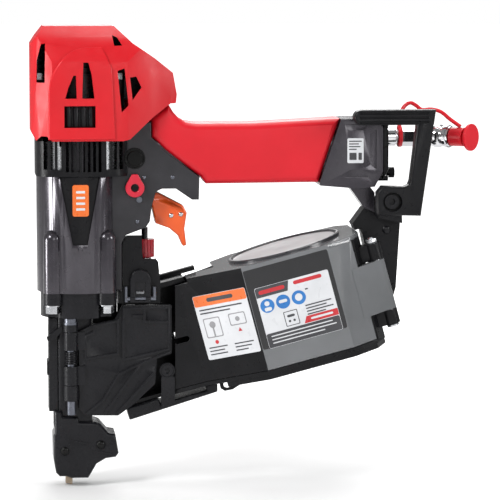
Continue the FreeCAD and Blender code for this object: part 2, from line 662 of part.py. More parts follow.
DOOR_OUTLINE = [(-1.2, 46.0), (2.9, 41.0), (24.0, 40.6), (33.0, 47.0), (47.5, 60.5),
                (49.0, 77.6), (58.3, 79.8), (58.3, 111.4), (27.0, 111.4), (22.0, 102.2),
                (9.0, 99.6), (-1.2, 94.4)]


def nose_door():
    """The door over the nail channel: plate, raised ribs and hinge knuckles."""
    plate = side_prism(DOOR_OUTLINE, -15.6, -13.2)
    plate = rounded(plate, (1.5, 1.0), lambda e: across_y(e) and e.BoundBox.XMin > 0)
    rib_paths = [
        [(3.5, 77.5), (3.5, 92.0), (9.0, 94.5), (9.0, 98.5), (24.0, 101.5), (24.0, 80.5), (3.5, 77.5)],
        [(27.5, 109.5), (56.5, 109.5), (56.5, 83.0), (27.5, 76.5), (27.5, 109.5)],
        [(4.5, 42.5), (14.0, 50.5), (24.5, 67.5), (41.0, 75.0), (57.0, 80.8)],
        [(16.0, 43.0), (37.5, 72.5)], [(24.0, 42.5), (46.5, 67.0)], [(41.0, 109.0), (41.0, 100.5)],
        [(41.0, 100.5), (56.0, 100.5)], [(34, 104.5), (41, 104.5)],
    ]
    ribs = [wall_rib(a, b) for path in rib_paths for a, b in zip(path, path[1:])]
    hinges = [knuckle(z0, z1, 4.6).fuse(box(DOOR_X, DOOR_X + 9, -17.2, -13.2, z0, z1))
              for z0, z1 in ((60.9, 72.8), (83.2, 94.6))]
    door = fuse(plate, *(ribs + hinges))
    clear = [rod(5.1, z1 - z0, (DOOR_X, DOOR_Y, z0))
             for z0, z1 in ((40, 60.85), (72.85, 83.15), (94.65, 110))]
    return cut(door, rod(PIN_R + RUNNING, 80, (DOOR_X, DOOR_Y, 40)), *clear)


def wall_rib(a, b, half=0.8, y0=-16.9, y1=-15.2):
    """A low straight rib from a to b on the door's face."""
    length = math.hypot(b[0] - a[0], b[1] - a[1])
    dx, dz = (b[0] - a[0]) / length, (b[1] - a[1]) / length
    ax, az, bx, bz = a[0] - half * dx, a[1] - half * dz, b[0] + half * dx, b[1] + half * dz
    nx, nz = -dz * half, dx * half
    corners = [(ax + nx, az + nz), (bx + nx, bz + nz), (bx - nx, bz - nz), (ax - nx, az - nz)]
    return side_prism(corners, y0, y1)


def door_latch():
    plate = side_prism([(31.7, 113.2), (31.7, 128.5), (33.6, 132.6), (38.3, 134.4), (43.0, 132.6),
                        (44.9, 128.5), (44.9, 113.2)], -19.0, -16.2)
    plate = rounded(plate, (0.8, 0.5), on_plane_y(19.0))
    window = box(35.0, 41.6, -21, -17.6, 114.5, 126.5)
    bush = rod(2.0, 13.2, (31.7, -17.6, 115.6), (1, 0, 0))
    return cut(fuse(plate, bush), window, rod(1.3, 40, (20, -17.6, 115.6), (1, 0, 0)))


def latch_pins():
    """The latch's hinge pin and the two upright pins beside it."""
    hinge = rod(1.25, 17.8, (29.4, -17.6, 115.6), (1, 0, 0))
    left = fuse(rod(1.5, 9.8, (29.4, -15.9, 113.4)), hinge)
    right = rod(1.5, 8.6, (47.2, -15.9, 114.4))
    return fuse(left, right)


def arm_housing():
    """The black housing behind the latch, round the contact rod."""
    side = [(24.8, 112.2), (24.8, 119.6), (27.2, 119.6), (27.2, 150.5), (29.8, 155.5), (39.5, 155.5),
            (40.2, 140.5), (48.6, 140.5), (50.0, 138.5), (51.2, 126.0), (51.2, 112.2)]
    body = side_prism(side, -14.4, 13.4)
    inner = [(29.5, 112.0), (29.5, 157), (60, 157), (49.0, 136.5), (49.0, 112.0)]
    body = cut(body, side_prism(inner, -11.9, 20))
    return body


def contact_foot():
    outline = [(-16.3, 43.5), (-16.3, 29.0), (-17.2, 27.5), (-17.0, 12.0), (-15.6, 3.6), (-13.2, 1.2),
               (-9.0, 1.2), (-6.0, 0.0), (5.0, 0.0), (10.3, 9.0), (16.2, 12.4), (22.6, 13.2),
               (24.4, 15.8), (22.3, 28.2), (17.8, 29.0), (12.8, 34.8), (10.0, 36.0), (-0.9, 36.5),
               (-1.5, 39.4), (-11.0, 39.8), (-11.5, 43.5)]
    foot = side_prism(outline, -13, 13)
    foot = rounded(foot, (2.2, 1.5, 1.0), on_plane_y(13))
    path = [(-12.5, 33.0), (-7.2, 24.7), (5.5, 22.2), (9.2, 17.0), (21.0, 15.4)]
    foot = fuse(foot, *[wall_rib(a, b, 0.6, -13.5, -12.4) for a, b in zip(path, path[1:])])
    foot = cut(foot, box(-14.4, 8.4, -10.4, 10.4, EXIT_DEPTH, 50), rod(EXIT_R, 20, (0, 0, -5)))
    foot = cut(foot, rod(CROSS_PIN_R, 40, (13.0, -20, 21.5), (0, 1, 0)),
               rod(CROSS_PIN_R, 3.4, (PROBE_X, -13.4, PROBE_Z), (0, 1, 0)),
               rod(PROBE_PIN_R, 30, (PROBE_X, -15, PROBE_Z), (0, 1, 0)))
    return cut(foot, box(-14.4, -4.6, -2.4, 2.4, -1, EXIT_DEPTH + 1), box(-20, -14, -9.6, 9.6, 32.4, 60))


CROSS_PIN_R = 3.1
PROBE_X, PROBE_Z = -10.0, 17.8
PROBE_PIN_R = 1.5
EXIT_R, EXIT_DEPTH = 3.8, 3.0   # the hole in the foot that the nail leaves through


def foot_pins():
    through = rod(CROSS_PIN_R, 25.8, (13.0, -12.9, 21.5), (0, 1, 0))
    short = rod(CROSS_PIN_R, 2.5, (PROBE_X, -13.0, PROBE_Z), (0, 1, 0))
    short = short.fuse(rod(PROBE_PIN_R, 25.9, (PROBE_X, -13.0, PROBE_Z), (0, 1, 0)))
    well = rod(1.4, 1.2, (13.0, -12.95, 21.5), (0, 1, 0))
    return Part.makeCompound([through.cut(well), short])


def locator_probe():
    """The swinging finger in front of the nail, which finds the hole in a steel plate."""
    finger = side_prism([(-9.2, -5.0), (-6.9, -5.0), (-6.3, -5.8), (-5.0, -5.8), (-4.8, -4.6), (-4.8, 12),
                         (-7.0, 17.8), (-8.2, 20.4), (-11.6, 20.4), (-12.9, 17.8), (-12.4, 14), (-9.2, 10)],
                        -2.0, 2.0)
    return finger.cut(rod(PROBE_PIN_R + RUNNING, 10, (PROBE_X, -5, PROBE_Z), (0, 1, 0)))


def contact_link():
    """The arm that carries the foot's movement up to the trigger."""
    outline = [(-6, 24), (6, 24), (8, 81), (30, 90.5), (45.6, 118), (45.6, 131), (37.6, 131),
               (37.6, 124), (28, 99.5), (24.5, 91.6), (-2, 90.5), (-6, 86)]
    plate = side_prism(outline, 13.9, 16.4)
    mount = box(-5, 5, 13.0, 14.2, 25, 34)
    bridge = box(38.0, 45.6, -3.0, 14.2, 125, 130.8)
    rod_up = rod(2.0, 159.5 - 128, (DIAL_X, 0, 128))
    return fuse(plate, mount, bridge, rod_up)


def adjust_dial():
    dial = rod(6.1, 11.4, (DIAL_X, 0, 140.6))
    for k in range(18):
        a = math.radians(20 * k)
        groove = rod(0.55, 8.6, (DIAL_X + 6.15 * math.cos(a), 6.15 * math.sin(a), 143.4))
        dial = dial.cut(groove)
    return dial.cut(rod(2.0 + RUNNING, 14, (DIAL_X, 0, 139)))


def dial_spring():
    return tube(4.2, 3.2, 8.6, (DIAL_X, 0, 131.4))


# ---------------------------------------------------------------- magazine, in its own axes

MAG_PLAN = [(66, -13.2), (94, -16.5), (132, -40), (188, -43), (204, -36), (211, -23)]
MAG_PLAN += [(u, -y) for u, y in reversed(MAG_PLAN)]
MAG_INNER = [(60, -10.7), (94.6, -13.9), (132.8, -37.4), (187.5, -40.4), (202.2, -33.9), (208.4, -22.4)]
MAG_INNER += [(u, -y) for u, y in reversed(MAG_INNER)]
COVER_SPLIT_X = 60.6       # the magazine cover starts behind the nose door
FLOOR = 2.5
SKIRT_LOW = 32.8           # a skirt under the canister's floor reaches down to here


def mag_wall(v0, v1):
    return plan_prism(MAG_PLAN, v0, v1).cut(plan_prism(MAG_INNER, v0 - 1, v1 + 1))


def view_slot():
    """The see-through slot across the feed channel."""
    slot = box(80.5, 90.5, -30, 30, 66.5, 70.5)
    return rounded(slot, (1.9,), lambda e: e.BoundBox.YLength > 20)


def magazine_base():
    walls = mag_wall(MAG_LOW, MAG_HIGH - 2.9)
    keep = fuse(box(60, 230, 0.5, 60, 30, 120), box(204.6, 230, -33, 60, 30, 120))
    far = walls.common(keep)
    floor = plan_prism(MAG_PLAN, MAG_LOW, MAG_LOW + FLOOR)
    channel = box(14, 70, 10.8, 13.3, MAG_LOW, MAG_HIGH - 2.9)
    channel_floor = box(22, 70, -9.5, 13.3, MAG_LOW, MAG_LOW + FLOOR)
    knuckles = [rod(5.0, v1 - v0, (HINGE_U, HINGE_Y, v0)).fuse(
        box(208.5, HINGE_U, HINGE_Y - 3, HINGE_Y + 8, v0, v1)) for v0, v1 in ((44.0, 53.6), (86.4, 97.0))]
    bowl = box(209, 211, -21, -14, 44, 97)
    skirt = inset_prism(plan_prism, MAG_PLAN, 0.6, SKIRT_LOW, MAG_LOW + 0.2)
    skirt = skirt.cut(inset_prism(plan_prism, MAG_PLAN, 4.0, SKIRT_LOW - 1, MAG_LOW + 1))
    skirt = skirt.cut(box(60, 106, -60, 60, SKIRT_LOW - 1, MAG_LOW + 1))
    lobe = side_prism([(101.6, 38.0), (101.4, 31.6), (103.5, 29.4), (108.5, 29.0), (122.0, 33.0),
                       (122.0, 38.0)], -14.8, -11.8)
    lobe = lobe.cut(rod(2.6, 6, (106.2, -16, 33.2), (0, 1, 0)))
    base = fuse(far, floor, channel, channel_floor, bowl, skirt, lobe, *knuckles)
    base = cut(base, view_slot(), rod(3.0, 60, (HINGE_U, HINGE_Y, 42)))
    base = cut(base, rod(2.6, 6, (COIL_U, 0, MAG_LOW - 1)), PAWL_ROOM,
               box(200, 230, -40, -23, 53.5, 86.5))
    base = tilt(base)
    rooms = [box(-30, 9.0, -40, 40, 0, 130), box(-30, 18.5, -40, 40, 0, 47.5),
             box(-30, 25.2, -40, 40, 103.7, 130), box(25, 52, -40, 40, 112, 130)]
    return cut(base, *rooms)


PAWL_ROOM = box(24, 46, 9, 15, 66.5, 73.5)


def top_rail():
    """The rail over the feed channel, between the housing and the canister."""
    rail = box(70, 97.2, -9.0, 13.3, MAG_HIGH - 2.8, MAG_HIGH + 0.4)
    bar = box(76, 106.5, 8.0, 13.3, MAG_HIGH + 0.4, MAG_HIGH + 3.4)
    rail = tilt(fuse(rail, bar))
    return rail.cut(box(0, 51.4, -40, 40, 80, 160))


def magazine_cover():
    """The clear cover that swings open on the rear hinge, with its lid."""
    walls = mag_wall(MAG_LOW + FLOOR + 0.4, MAG_HIGH - 2.9)
    keep = cut(box(60, 204, -60, -0.6, 30, 120), box(203.4, 230, -33.6, 0, 30, 120))
    near = walls.common(keep)
    near = near.cut(box(60, 98, -12.0, 0, 30, 120))
    lid = plan_prism([(98.5, -18.5)] + MAG_PLAN[2:-2] + [(98.5, 18.5)], MAG_HIGH - 2.9 + 0.4, MAG_HIGH)
    lid = lid.cut(plan_prism([(98, 0.5), (118, 0.5), (118, 40), (98, 40)], 90, 120))
    rim = near_rim()
    arm = [(199.5, -38.2), (204.5, -36.2), (219.5, -29.4), (215, -24), (201, -34.0)]
    lug = fuse(rod(5.0, 32.2, (HINGE_U, HINGE_Y, 53.9)), plan_prism(arm, 53.9, 86.1))
    cover = fuse(near, lid, rim, lug)
    cover = cut(cover, rod(3.0 + RUNNING, 60, (HINGE_U, HINGE_Y, 42)), view_slot())
    cover = cut(tilt(cover), box(0, COVER_SPLIT_X, -60, 60, 0, 200))
    return max(cover.Solids, key=lambda s: s.Volume)


def near_rim():
    """A lip that joins the cover's wall to its lid."""
    outline = [(98.5, -19.3), (132, -40), (188, -43), (203, -36.5), (201.5, -34.5), (187.5, -40.4),
               (132.8, -37.4), (99.5, -16.9)]
    return plan_prism(outline, MAG_HIGH - 3.2, MAG_HIGH - 1)




def hinge_rod():
    return tilt(fuse(rod(3.0, 53.6, (HINGE_U, HINGE_Y, 43.6)), rod(3.8, 1.4, (HINGE_U, HINGE_Y, 42.2))))


def coil_spindle():
    post = fuse(rod(6.0, 50, (COIL_U, 0, MAG_LOW + FLOOR + 0.02)), rod(2.55, 4.4, (COIL_U, 0, MAG_LOW - 1.8)))
    return tilt(post.fuse(Part.makeCone(6.0, 4.4, 3, V(COIL_U, 0, MAG_LOW + FLOOR + 50), V(0, 0, 1))))


def nail_platform():
    disc = tube(33.5, 6.3, 2.2, (COIL_U, 0, 42.0))
    hub = tube(9.5, 6.3, 9, (COIL_U, 0, 42.0))
    ring = tube(33.5, 31.5, 3.6, (COIL_U, 0, 42.0))
    return tilt(fuse(disc, hub, ring))


def lower_rail():
    """The bar under the magazine that guards the nail points."""
    outline = [(40.0, 27.4), (99.0, 29.6), (100.4, 35.0), (98.6, 35.9), (92.4, 35.9), (92.4, 32.6),
               (62, 32.2), (61.4, 35.8), (40.0, 35.8)]
    rail = side_prism(outline, -12.2, 12.2)
    rail = rounded(rail, (1.5, 1.0), on_plane_y(12.2))
    return tilt(rail)


LUG_X, LUG_Z = 55.4, 68.9


def rail_lug():
    """The lug with the socket screw that ties the rail to the magazine."""
    ear = fuse(rod(4.9, 2.7, (LUG_X, -16.0, LUG_Z), (0, 1, 0)),
               side_prism([(51.6, 65.0), (60.2, 65.0), (60.2, 54.5), (51.5, 52.5)], -16.0, -13.3))
    link = side_prism([(51.6, 53.0), (60.2, 55.5), (60.2, 47.0), (51.6, 45.0)], -16.0, -12.2)
    lug = cut(fuse(ear, link), rod(2.6, 20, (LUG_X, -18, LUG_Z), (0, 1, 0)),
              rod(4.1, 2.0, (LUG_X, -16.4, LUG_Z), (0, 1, 0)))
    return lug.cut(tilt(plan_prism(MAG_PLAN, MAG_LOW, MAG_LOW + FLOOR)))


def rail_screw():
    head = rod(4.0, 1.5, (LUG_X, -15.9, LUG_Z), (0, 1, 0))
    shank = rod(2.5, 2.2, (LUG_X, -14.4, LUG_Z), (0, 1, 0))
    socket = hexagon(3.0, 1.1, (LUG_X, -16.0, LUG_Z), (0, 1, 0))
    return head.fuse(shank).cut(socket)


def magazine_bracket():
    """The black plate between the handle's strut and the back of the magazine."""
    outline = [(182.6, 171.2), (172.5, 157.5), (171.5, 155.6), (181.0, 158.0), (183.5, 146.5),
               (193.0, 118.0), (193.8, 97.0), (197.5, 98.0), (203.5, 120.0), (206.0, 163.5),
               (194.0, 172.0), (189.2, 168.2)]
    plate = side_prism(outline, -8, 8)
    slot_form = tilt(plan_prism(MAG_PLAN, 20, 110))
    pocket = tilt(box(160, 211.4, -60, 60, 20, 108.6))
    return cut(plate, slot_form, pocket, rod(2.6, 60, (HOOK_X, -30, HOOK_Z - 20), (0, 1, 0)))


def hook_boss():
    """The round boss and the bolt that the hook turns on."""
    boss = rod(7.5, 15.2, (HOOK_X, -HOOK_BOSS_Y, HOOK_Z), (0, 1, 0))
    foot = side_prism([(189.6, 166.0), (205.0, 162.5), (204.4, 177.0), (189.8, 177.0)], -HOOK_BOSS_Y, -8.0)
    back = side_prism([(189.4, 168.5), (194.0, 172.2), (206.0, 163.8), (205.5, 176), (189.8, 178)], -8.0, 8.0)
    bolt = rod(3.0, 14, (HOOK_X, HOOK_OUT + 3.2, HOOK_Z), (0, 1, 0))
    head = rod(4.6, 2.8, (HOOK_X, HOOK_OUT + 3.2, HOOK_Z), (0, 1, 0))
    socket = hexagon(4.0, 2.2, (HOOK_X, HOOK_OUT + 3.0, HOOK_Z), (0, 1, 0))
    return cut(fuse(boss, foot, back, bolt, head), socket, strut())


HOOK_BOSS_Y = 23.2


def hook():
    outline = [(224.6, 235.2), (215.2, 168.0), (187.6, 168.8), (187.2, 183.0), (190.5, 187.0),
               (204.5, 186.6), (207.4, 187.8), (208.4, 190.4), (212.6, 225.6)]
    outline += [(177.2 - 4.8 * math.cos(a), 230.4 + 4.8 * math.sin(a))
                for a in [math.radians(-90 + 18 * k) for k in range(11)]]
    arm = side_prism(outline, HOOK_OUT, HOOK_IN)
    arm = rounded(arm, (1.6, 1.2, 0.8), lambda e: on_plane_y(-HOOK_OUT)(e) or on_plane_y(-HOOK_IN)(e))
    for z in (227.4, 230.2, 233.0):
        arm = arm.cut(rod(0.7, 44, (176, HOOK_OUT, z), (1, 0, 0)))
    well = rod(6.2, 6.3, (HOOK_X, HOOK_OUT - 0.1, HOOK_Z), (0, 1, 0))
    return cut(arm, well, rod(3.0 + RUNNING, 30, (HOOK_X, -50, HOOK_Z), (0, 1, 0)))



# ---------------------------------------------------------------- nail feed

FEED_Y, FEED_V = 22.0, 70.0
PAWL_U = 31.5


def feed_cylinder():
    body = tube(8.4, 6.0, 30, (50, FEED_Y, FEED_V), (1, 0, 0))
    back = rod(8.4, 3, (80, FEED_Y, FEED_V), (1, 0, 0))
    front = tube(8.4, 2.6 + RUNNING, 3, (47, FEED_Y, FEED_V), (1, 0, 0))
    foot = box(50, 80, 13.3, FEED_Y, FEED_V - 6, FEED_V + 6)
    body = fuse(body, back, front, foot)
    body = cut(body, rod(6.0, 30, (50, FEED_Y, FEED_V), (1, 0, 0)), plan_prism(MAG_PLAN, MAG_LOW, MAG_HIGH))
    return tilt(body)


def feed_piston():
    head = rod(5.95, 8, (62, FEED_Y, FEED_V), (1, 0, 0))
    stem = rod(2.6, 29, (35, FEED_Y, FEED_V), (1, 0, 0))
    fork = box(28, 37, FEED_Y - 4.5, FEED_Y + 3, FEED_V - 4, FEED_V + 4)
    fork = fork.cut(box(26, 35, FEED_Y - 6, FEED_Y + 1, FEED_V - 2.2, FEED_V + 2.2))
    pin = rod(1.25, 8, (PAWL_U, FEED_Y - 1.8, FEED_V - 4))
    return tilt(fuse(head, stem, fork, pin))


def feed_pawl():
    hub = rod(2.3, 3.8, (PAWL_U, FEED_Y - 1.8, FEED_V - 1.9))
    arm = plan_prism([(28.4, 12.0), (31.4, 10.0), (PAWL_U + 2.2, FEED_Y - 2.2), (PAWL_U - 2.2, FEED_Y - 2.2)],
                     FEED_V - 1.9, FEED_V + 1.9)
    return tilt(fuse(hub, arm).cut(rod(1.25 + RUNNING, 12, (PAWL_U, FEED_Y - 1.8, FEED_V - 6))))


PIECES = {
    "body_casting": body_casting, "side_inserts": lambda: pair(side_insert()),
    "exhaust_grille": exhaust_grille, "exhaust_screen": exhaust_screen,
    "cylinder_sleeve": cylinder_sleeve, "bumper": bumper, "piston": piston,
    "piston_ring": lambda: tube(BORE_R - 0.02, 15.8, 3.0, (0, 0, PISTON_LOW + 4.5)),
    "driver_blade": driver_blade, "head_valve": head_valve, "head_valve_spring": head_spring,
    "cylinder_head": cylinder_head, "head_bolts": head_bolts, "cylinder_cover": cylinder_cover,
    "cover_vents": cover_vents, "hand_grip": hand_grip, "handle_end_cap": end_cap,
    "end_cap_screws": end_cap_screws, "end_cap_knob": end_cap_knob, "air_inlet": air_inlet,
    "swivel_plug": swivel_plug, "dust_cap": dust_cap, "cap_strap": cap_strap,
    "trigger_bracket": trigger_bracket,
    "side_plug": side_plug, "mode_lever": mode_lever, "trigger": trigger,
    "trigger_pin": trigger_pin, "valve_housing": valve_housing,
    "trigger_stem": trigger_stem, "nose_body": nose_body,
    "nose_bolts": nose_bolts, "nose_guard": nose_guard, "hinge_pin": hinge_pin,
    "hinge_spring": hinge_spring, "nose_door": nose_door, "door_latch": door_latch,
    "latch_pins": latch_pins, "arm_housing": arm_housing, "contact_foot": contact_foot,
    "foot_pins": foot_pins, "locator_probe": locator_probe, "contact_link": contact_link,
    "adjust_dial": adjust_dial, "dial_spring": dial_spring, "magazine_base": magazine_base,
    "top_rail": top_rail, "magazine_cover": magazine_cover,
    "magazine_hinge_rod": hinge_rod, "nail_platform": nail_platform,
    "coil_spindle": coil_spindle, "lower_rail": lower_rail, "rail_lug": rail_lug,
    "rail_screw": rail_screw, "magazine_bracket": magazine_bracket, "hook_boss": hook_boss,
    "hook": hook, "feed_cylinder": feed_cylinder, "feed_piston": feed_piston, "feed_pawl": feed_pawl,
}


def main():
    os.makedirs("parts", exist_ok=True)
    for name, make in PIECES.items():
        save(name, make())


main()
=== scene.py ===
import json
import math
import bmesh
import bpy
from mathutils import Matrix, Vector


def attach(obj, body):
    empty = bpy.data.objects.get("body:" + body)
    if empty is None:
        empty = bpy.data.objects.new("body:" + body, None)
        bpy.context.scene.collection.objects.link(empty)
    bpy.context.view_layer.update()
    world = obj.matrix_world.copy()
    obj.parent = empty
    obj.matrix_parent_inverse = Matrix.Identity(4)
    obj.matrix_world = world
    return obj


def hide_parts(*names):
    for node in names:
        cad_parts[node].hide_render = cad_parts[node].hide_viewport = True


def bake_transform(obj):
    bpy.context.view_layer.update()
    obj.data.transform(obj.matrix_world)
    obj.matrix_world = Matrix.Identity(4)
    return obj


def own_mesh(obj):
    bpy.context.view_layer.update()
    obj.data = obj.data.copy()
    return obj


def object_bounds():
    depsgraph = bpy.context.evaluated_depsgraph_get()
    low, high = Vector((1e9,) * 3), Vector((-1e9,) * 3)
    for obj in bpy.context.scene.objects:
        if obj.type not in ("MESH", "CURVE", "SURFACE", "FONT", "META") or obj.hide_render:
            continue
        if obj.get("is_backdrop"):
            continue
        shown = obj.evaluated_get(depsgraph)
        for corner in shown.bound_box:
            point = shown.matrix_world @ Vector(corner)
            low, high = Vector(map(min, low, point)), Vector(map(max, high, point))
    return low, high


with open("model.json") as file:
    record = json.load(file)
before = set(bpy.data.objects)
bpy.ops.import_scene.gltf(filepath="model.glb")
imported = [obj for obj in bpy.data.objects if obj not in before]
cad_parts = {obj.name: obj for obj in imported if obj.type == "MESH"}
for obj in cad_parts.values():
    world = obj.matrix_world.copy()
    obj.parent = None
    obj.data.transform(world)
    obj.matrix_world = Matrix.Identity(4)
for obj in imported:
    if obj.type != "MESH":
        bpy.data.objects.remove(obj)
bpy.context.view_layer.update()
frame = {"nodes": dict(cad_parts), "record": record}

# The tool's own axes, in metres: the driver runs up Z through the origin, +X is towards the air
# plug, and -Y is the side that opens. The magazine is tilted and has its own axes U and V.
RECORD = frame["record"]
BODY_OF = {n: b for b, nodes in RECORD["behaviour"]["bodies"].items() for n in nodes}
SLOT_OF = {p["node"]: p["material_slot"] for p in RECORD["subparts"]}
MM = 0.001
TILT = math.radians(15)
U = Vector((math.cos(TILT), 0, math.sin(TILT)))
W = Vector((-math.sin(TILT), 0, math.cos(TILT)))
X, Y, Z = Vector((1, 0, 0)), Vector((0, 1, 0)), Vector((0, 0, 1))


# ------------------------------------------------------------------ materials

NOISE_LOW, NOISE_HIGH = 0.3, 0.7        # the span that a noise really uses
TONE_START, TONE_END = 0.32, 0.68       # where the dark tone ends and the light one begins
GLOSS_SCALE = 4.3                       # gloss changes this much faster than tone
LEAST_ROUGH, MOST_ROUGH = 0.85, 1.18
COAT_ROUGH = 0.12
GRAIN_DEPTH = 0.0002


def nodes_of(name):
    mat = bpy.data.materials.new(name)
    mat.use_nodes = True
    tree = mat.node_tree
    shader = tree.nodes["Principled BSDF"]
    coords = tree.nodes.new("ShaderNodeTexCoord")
    return mat, tree, shader, coords


def noise(tree, coords, scale, detail=3.0, stretch=None):
    """Noise on the object's own coordinates, stretched along an axis if asked."""
    tex = tree.nodes.new("ShaderNodeTexNoise")
    tex.inputs["Scale"].default_value = scale
    tex.inputs["Detail"].default_value = detail
    source = coords.outputs["Object"]
    if stretch:
        mapping = tree.nodes.new("ShaderNodeMapping")
        mapping.inputs["Scale"].default_value = stretch
        tree.links.new(source, mapping.inputs["Vector"])
        source = mapping.outputs["Vector"]
    tree.links.new(source, tex.inputs["Vector"])
    return tex


def spread(tree, source, low, high):
    """Maps a noise's useful span to low..high."""
    node = tree.nodes.new("ShaderNodeMapRange")
    node.inputs["From Min"].default_value = NOISE_LOW
    node.inputs["From Max"].default_value = NOISE_HIGH
    node.inputs["To Min"].default_value = low
    node.inputs["To Max"].default_value = high
    tree.links.new(source, node.inputs["Value"])
    return node.outputs["Result"]


def surface(name, dark, light, rough, metal=0.0, grain=0.05, grain_scale=2600.0, tone_scale=55.0,
            stretch=None, coat=0.0, clear=0.0, ior=1.5, shine=0.5):
    """A finish with a slow change of tone, uneven gloss and a fine surface grain."""
    mat, tree, shader, coords = nodes_of(name)
    tone = noise(tree, coords, tone_scale, 4.0, stretch)
    ramp = tree.nodes.new("ShaderNodeValToRGB")
    ramp.color_ramp.elements[0].position = TONE_START
    ramp.color_ramp.elements[0].color = (*dark, 1)
    ramp.color_ramp.elements[1].position = TONE_END
    ramp.color_ramp.elements[1].color = (*light, 1)
    tree.links.new(tone.outputs["Fac"], ramp.inputs["Fac"])
    tree.links.new(ramp.outputs["Color"], shader.inputs["Base Color"])
    gloss = noise(tree, coords, tone_scale * GLOSS_SCALE, 5.0, stretch)
    uneven = spread(tree, gloss.outputs["Fac"], rough * LEAST_ROUGH, rough * MOST_ROUGH)
    tree.links.new(uneven, shader.inputs["Roughness"])
    shader.inputs["Metallic"].default_value = metal
    shader.inputs["IOR"].default_value = ior
    shader.inputs["Specular IOR Level"].default_value = shine
    shader.inputs["Coat Weight"].default_value = coat
    shader.inputs["Coat Roughness"].default_value = COAT_ROUGH
    shader.inputs["Transmission Weight"].default_value = clear
    if grain:
        fine = noise(tree, coords, grain_scale, 2.0, stretch)
        bump = tree.nodes.new("ShaderNodeBump")
        bump.inputs["Strength"].default_value = grain
        bump.inputs["Distance"].default_value = GRAIN_DEPTH
        tree.links.new(fine.outputs["Fac"], bump.inputs["Height"])
        tree.links.new(bump.outputs["Normal"], shader.inputs["Normal"])
    return mat


M = {
    "gunmetal": surface("gunmetal", dark=(0.040, 0.036, 0.044), light=(0.052, 0.047, 0.057),
                        rough=0.24, metal=0.6, grain=0.07, tone_scale=90, coat=0.5),
    "bracket_paint": surface("bracket_paint", dark=(0.014, 0.0135, 0.016),
                             light=(0.024, 0.023, 0.027), rough=0.46, metal=0.1, grain=0.5,
                             grain_scale=3000, shine=0.4),
    "red_plastic": surface("red_plastic", dark=(0.50, 0.0055, 0.011), light=(0.57, 0.0075, 0.014),
                           rough=0.38, grain=0.12, grain_scale=3400, tone_scale=30, shine=0.32),
    "red_rubber": surface("red_rubber", dark=(0.52, 0.0042, 0.012), light=(0.59, 0.0056, 0.016),
                          rough=0.40, grain=0.18, grain_scale=2800, tone_scale=30, shine=0.35),
    "crimson": surface("crimson", dark=(0.48, 0.004, 0.022), light=(0.56, 0.006, 0.030), rough=0.30,
                       grain=0.08, tone_scale=40, coat=0.3),
    "dial_red": surface("dial_red", dark=(0.30, 0.004, 0.012), light=(0.40, 0.006, 0.018),
                        rough=0.33, grain=0.10, coat=0.2),
    "orange_plastic": surface("orange_plastic", dark=(0.66, 0.075, 0.006),
                              light=(0.74, 0.095, 0.009), rough=0.32, grain=0.12, grain_scale=3000,
                              tone_scale=40, coat=0.15),
    "black_plastic": surface("black_plastic", dark=(0.004, 0.004, 0.005),
                             light=(0.007, 0.007, 0.008), rough=0.30, grain=0.30, grain_scale=3200,
                             shine=0.18),
    "black_steel": surface("black_steel", dark=(0.006, 0.006, 0.0075), light=(0.010, 0.010, 0.012),
                           rough=0.28, metal=0.1, grain=0.25, grain_scale=2400, shine=0.24),
    "bright_steel": surface("bright_steel", dark=(0.45, 0.46, 0.48), light=(0.62, 0.63, 0.65),
                            rough=0.26, metal=1.0, grain=0.15, grain_scale=1800, tone_scale=90,
                            stretch=(1, 1, 6)),
    "chrome": surface("chrome", dark=(0.60, 0.60, 0.62), light=(0.74, 0.74, 0.76), rough=0.12,
                      metal=1.0, grain=0.02, grain_scale=900, tone_scale=60),
    "clear_smoke": surface("clear_smoke", dark=(0.20, 0.207, 0.215), light=(0.25, 0.258, 0.27),
                           rough=0.08, grain=0.0, grain_scale=500, tone_scale=25, coat=0.5,
                           clear=0.42, ior=1.25),
    "black_gloss": surface("black_gloss", dark=(0.003, 0.003, 0.003), light=(0.006, 0.006, 0.006),
                           rough=0.22, grain_scale=1500, tone_scale=60, shine=0.2),
    "aluminium": surface("aluminium", dark=(0.50, 0.50, 0.52), light=(0.64, 0.64, 0.66), rough=0.30,
                         metal=1.0, grain=0.12, grain_scale=1800, tone_scale=80),
    "black_rubber": surface("black_rubber", dark=(0.010, 0.010, 0.010), light=(0.018, 0.018, 0.018),
                            rough=0.62, grain=0.4, grain_scale=2200),
    "pin_steel": surface("pin_steel", dark=(0.10, 0.105, 0.125), light=(0.17, 0.18, 0.21),
                         rough=0.30, metal=0.9, grain=0.15, grain_scale=1800, tone_scale=70),
    # painted reflection: the clear lid gets a pale, nearly opaque colour that stands in for the white
    # light it reflects
    "clear_painted_reflection": surface("clear_painted_reflection", dark=(0.76, 0.77, 0.79), light=(0.84, 0.85, 0.86),
                          rough=0.16, grain=0.0, grain_scale=500, tone_scale=25, coat=0.4,
                          clear=0.08, ior=1.4),
    "probe_steel": surface("probe_steel", dark=(0.34, 0.26, 0.18), light=(0.46, 0.37, 0.28),
                           rough=0.34, metal=0.8, grain=0.2, grain_scale=2000, tone_scale=120),
}


def film(name, dark, light, rough=0.30, grain=0.04, tone_scale=60, coat=0.3, shine=0.5):
    """A thin film, for print and for a backing of painted shade: smooth, evenly coloured and lightly
    coated.
    """
    return surface(name, dark, light, rough, grain=grain, grain_scale=900, tone_scale=tone_scale,
                   coat=coat, shine=shine)


